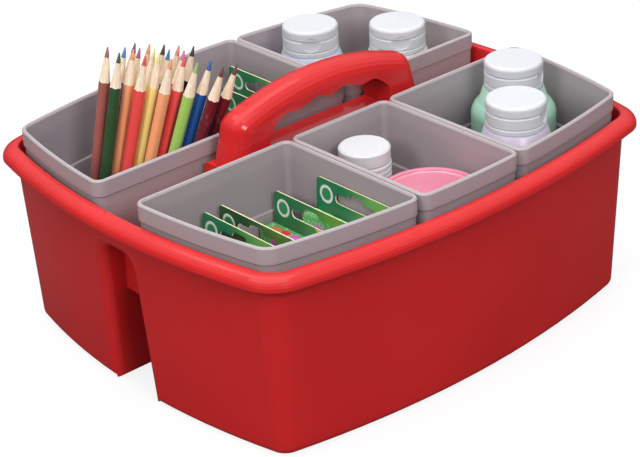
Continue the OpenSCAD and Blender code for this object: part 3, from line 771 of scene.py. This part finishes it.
# %% Print: the carton
dot_colours = [(0.62, 0.20, 0.05), (0.70, 0.03, 0.05), (0.60, 0.12, 0.50), (0.80, 0.50, 0.66),
               (0.12, 0.30, 0.65), (0.75, 0.62, 0.12), (0.30, 0.08, 0.40)]


def carton_print(name, carton_h):
    printed, tree, bsdf = start_material("carton_print_" + name)
    place = own_place(tree)
    deep, across, up = axes_of(tree, place)
    flecks = patches(tree, place, scale=420, detail=2, low=0.52, high=0.6)
    ground = mix_colours(tree, flecks, (0.10, 0.40, 0.14), (0.34, 0.60, 0.26))
    side = remap(tree, across, -30 * mm, 30 * mm, 0, 1, smooth=True)
    shade = mix_colours(tree, side, (0.05, 0.30, 0.10), ground)
    for k, colour in enumerate(dot_colours):
        mask = oval(tree, across, deep, (25 - 8 * k) * mm, -5.6 * mm, 3.7 * mm, 2.7 * mm)
        shade = mix_colours(tree, mask, shade, colour)
    for k, colour in enumerate(dot_colours[2:] + dot_colours[:2]):
        low = carton_h - (5.5 + 5 * (k % 2)) * mm
        mask = oval(tree, across, up, (19 - 6.5 * k) * mm, low, 4 * mm, 2.8 * mm)
        shade = mix_colours(tree, mask, shade, colour)
    tree.links.new(shade, bsdf.inputs["Base Color"])
    add_skin(tree, bsdf, place, roughness=0.3, spread=0.08, depth=0.05 * mm)
    return printed


print("carton print:", 2 * len(dot_colours), "coloured ovals")

# %% [markdown]
# There are six packs, in three looks: deep green, a duller one, and one with coloured ovals
# round its slot. Ovals are given in millimetres, as the middle, the height above the carton, the
# two half sizes and a colour. Two ovals of one middle make the plain ring.

# %% Packs: the looks of their cards
ring = [(24.6, 11.5, 5.6, 5.6, (0.68, 0.72, 0.66)), (24.6, 11.5, 3.9, 3.9, (0.03, 0.24, 0.09))]
crayon_ovals = [(-8, 9, 5, 3.2, (0.62, 0.55, 0.12)), (-15, 6.5, 5, 3.2, (0.65, 0.05, 0.05)),
                (-13, 1.5, 5.5, 3.4, (0.10, 0.25, 0.6)), (-22, 2.5, 5, 3.2, (0.45, 0.28, 0.6))]
amber_oval = [(-16, 4, 9, 3.4, (0.62, 0.26, 0.03))]
looks = {"deep": ((0.16, 0.42, 0.09), (0.012, 0.17, 0.07), ring),
         "dull": ((0.10, 0.19, 0.04), (0.02, 0.075, 0.03), ring + amber_oval),
         "spotted": ((0.14, 0.34, 0.05), (0.015, 0.16, 0.055), ring + crayon_ovals)}
print("looks:", ", ".join(looks))

# %% [markdown]
# Each pack stands on its cup's floor, upright or leaning back a little. Card and carton are
# built upright, keep their own places for the print, and are then leaned and moved together.
# A side of -1 is the front row of cups and 1 the back row. The inset is measured from the row's
# inner face to the pack's near edge, and lengths are in millimetres.

# %% Packs: stood in their cups
row_inner = 22.728
packs = [dict(side=-1, x=-120, inset=0.5, carton_h=85, lean=6, look="deep"),
         dict(side=-1, x=-97, inset=0.5, carton_h=84.6, lean=0, look="dull"),
         dict(side=-1, x=-61.6, inset=0.5, carton_h=79, lean=3, look="spotted"),
         dict(side=-1, x=-49.2, inset=24.3, carton_h=91.5, lean=3, look="deep"),
         dict(side=1, x=14.2, inset=22.5, carton_h=82, lean=0, look="spotted"),
         dict(side=1, x=26.5, inset=29, carton_h=91.5, lean=0, look="deep")]
for i, pack in enumerate(packs):
    node = "crayon_pack_%d" % (i + 1)
    y = pack["side"] * (row_inner + pack["inset"] + pack_w / 2 / mm)
    stand = (Matrix.Translation((pack["x"] * mm, y * mm, cup_floor * mm))
             @ Matrix.Rotation(math.radians(pack["lean"]), 4, "Y"))
    height = pack["carton_h"] * mm
    bright, dark, ovals = looks[pack["look"]]
    made = {"card": (tab_card(height), [card_print(node, height, bright, dark, ovals), edge_card]),
            "carton": (carton(height), [carton_print(node, height)])}
    for part, (mesh, wear) in made.items():
        keep_own_place(mesh)
        mesh.materials.clear()
        for material in wear:
            mesh.materials.append(material)
        if part == "card":
            for face in mesh.polygons:
                face.material_index = 0 if abs(face.normal.x) > 0.9 else 1
        mesh.transform(stand)
        piece = object_from(mesh, "%s_%s" % (node, part))
        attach(piece, node + "_body")
        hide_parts(node)
print("packs:", len(packs))
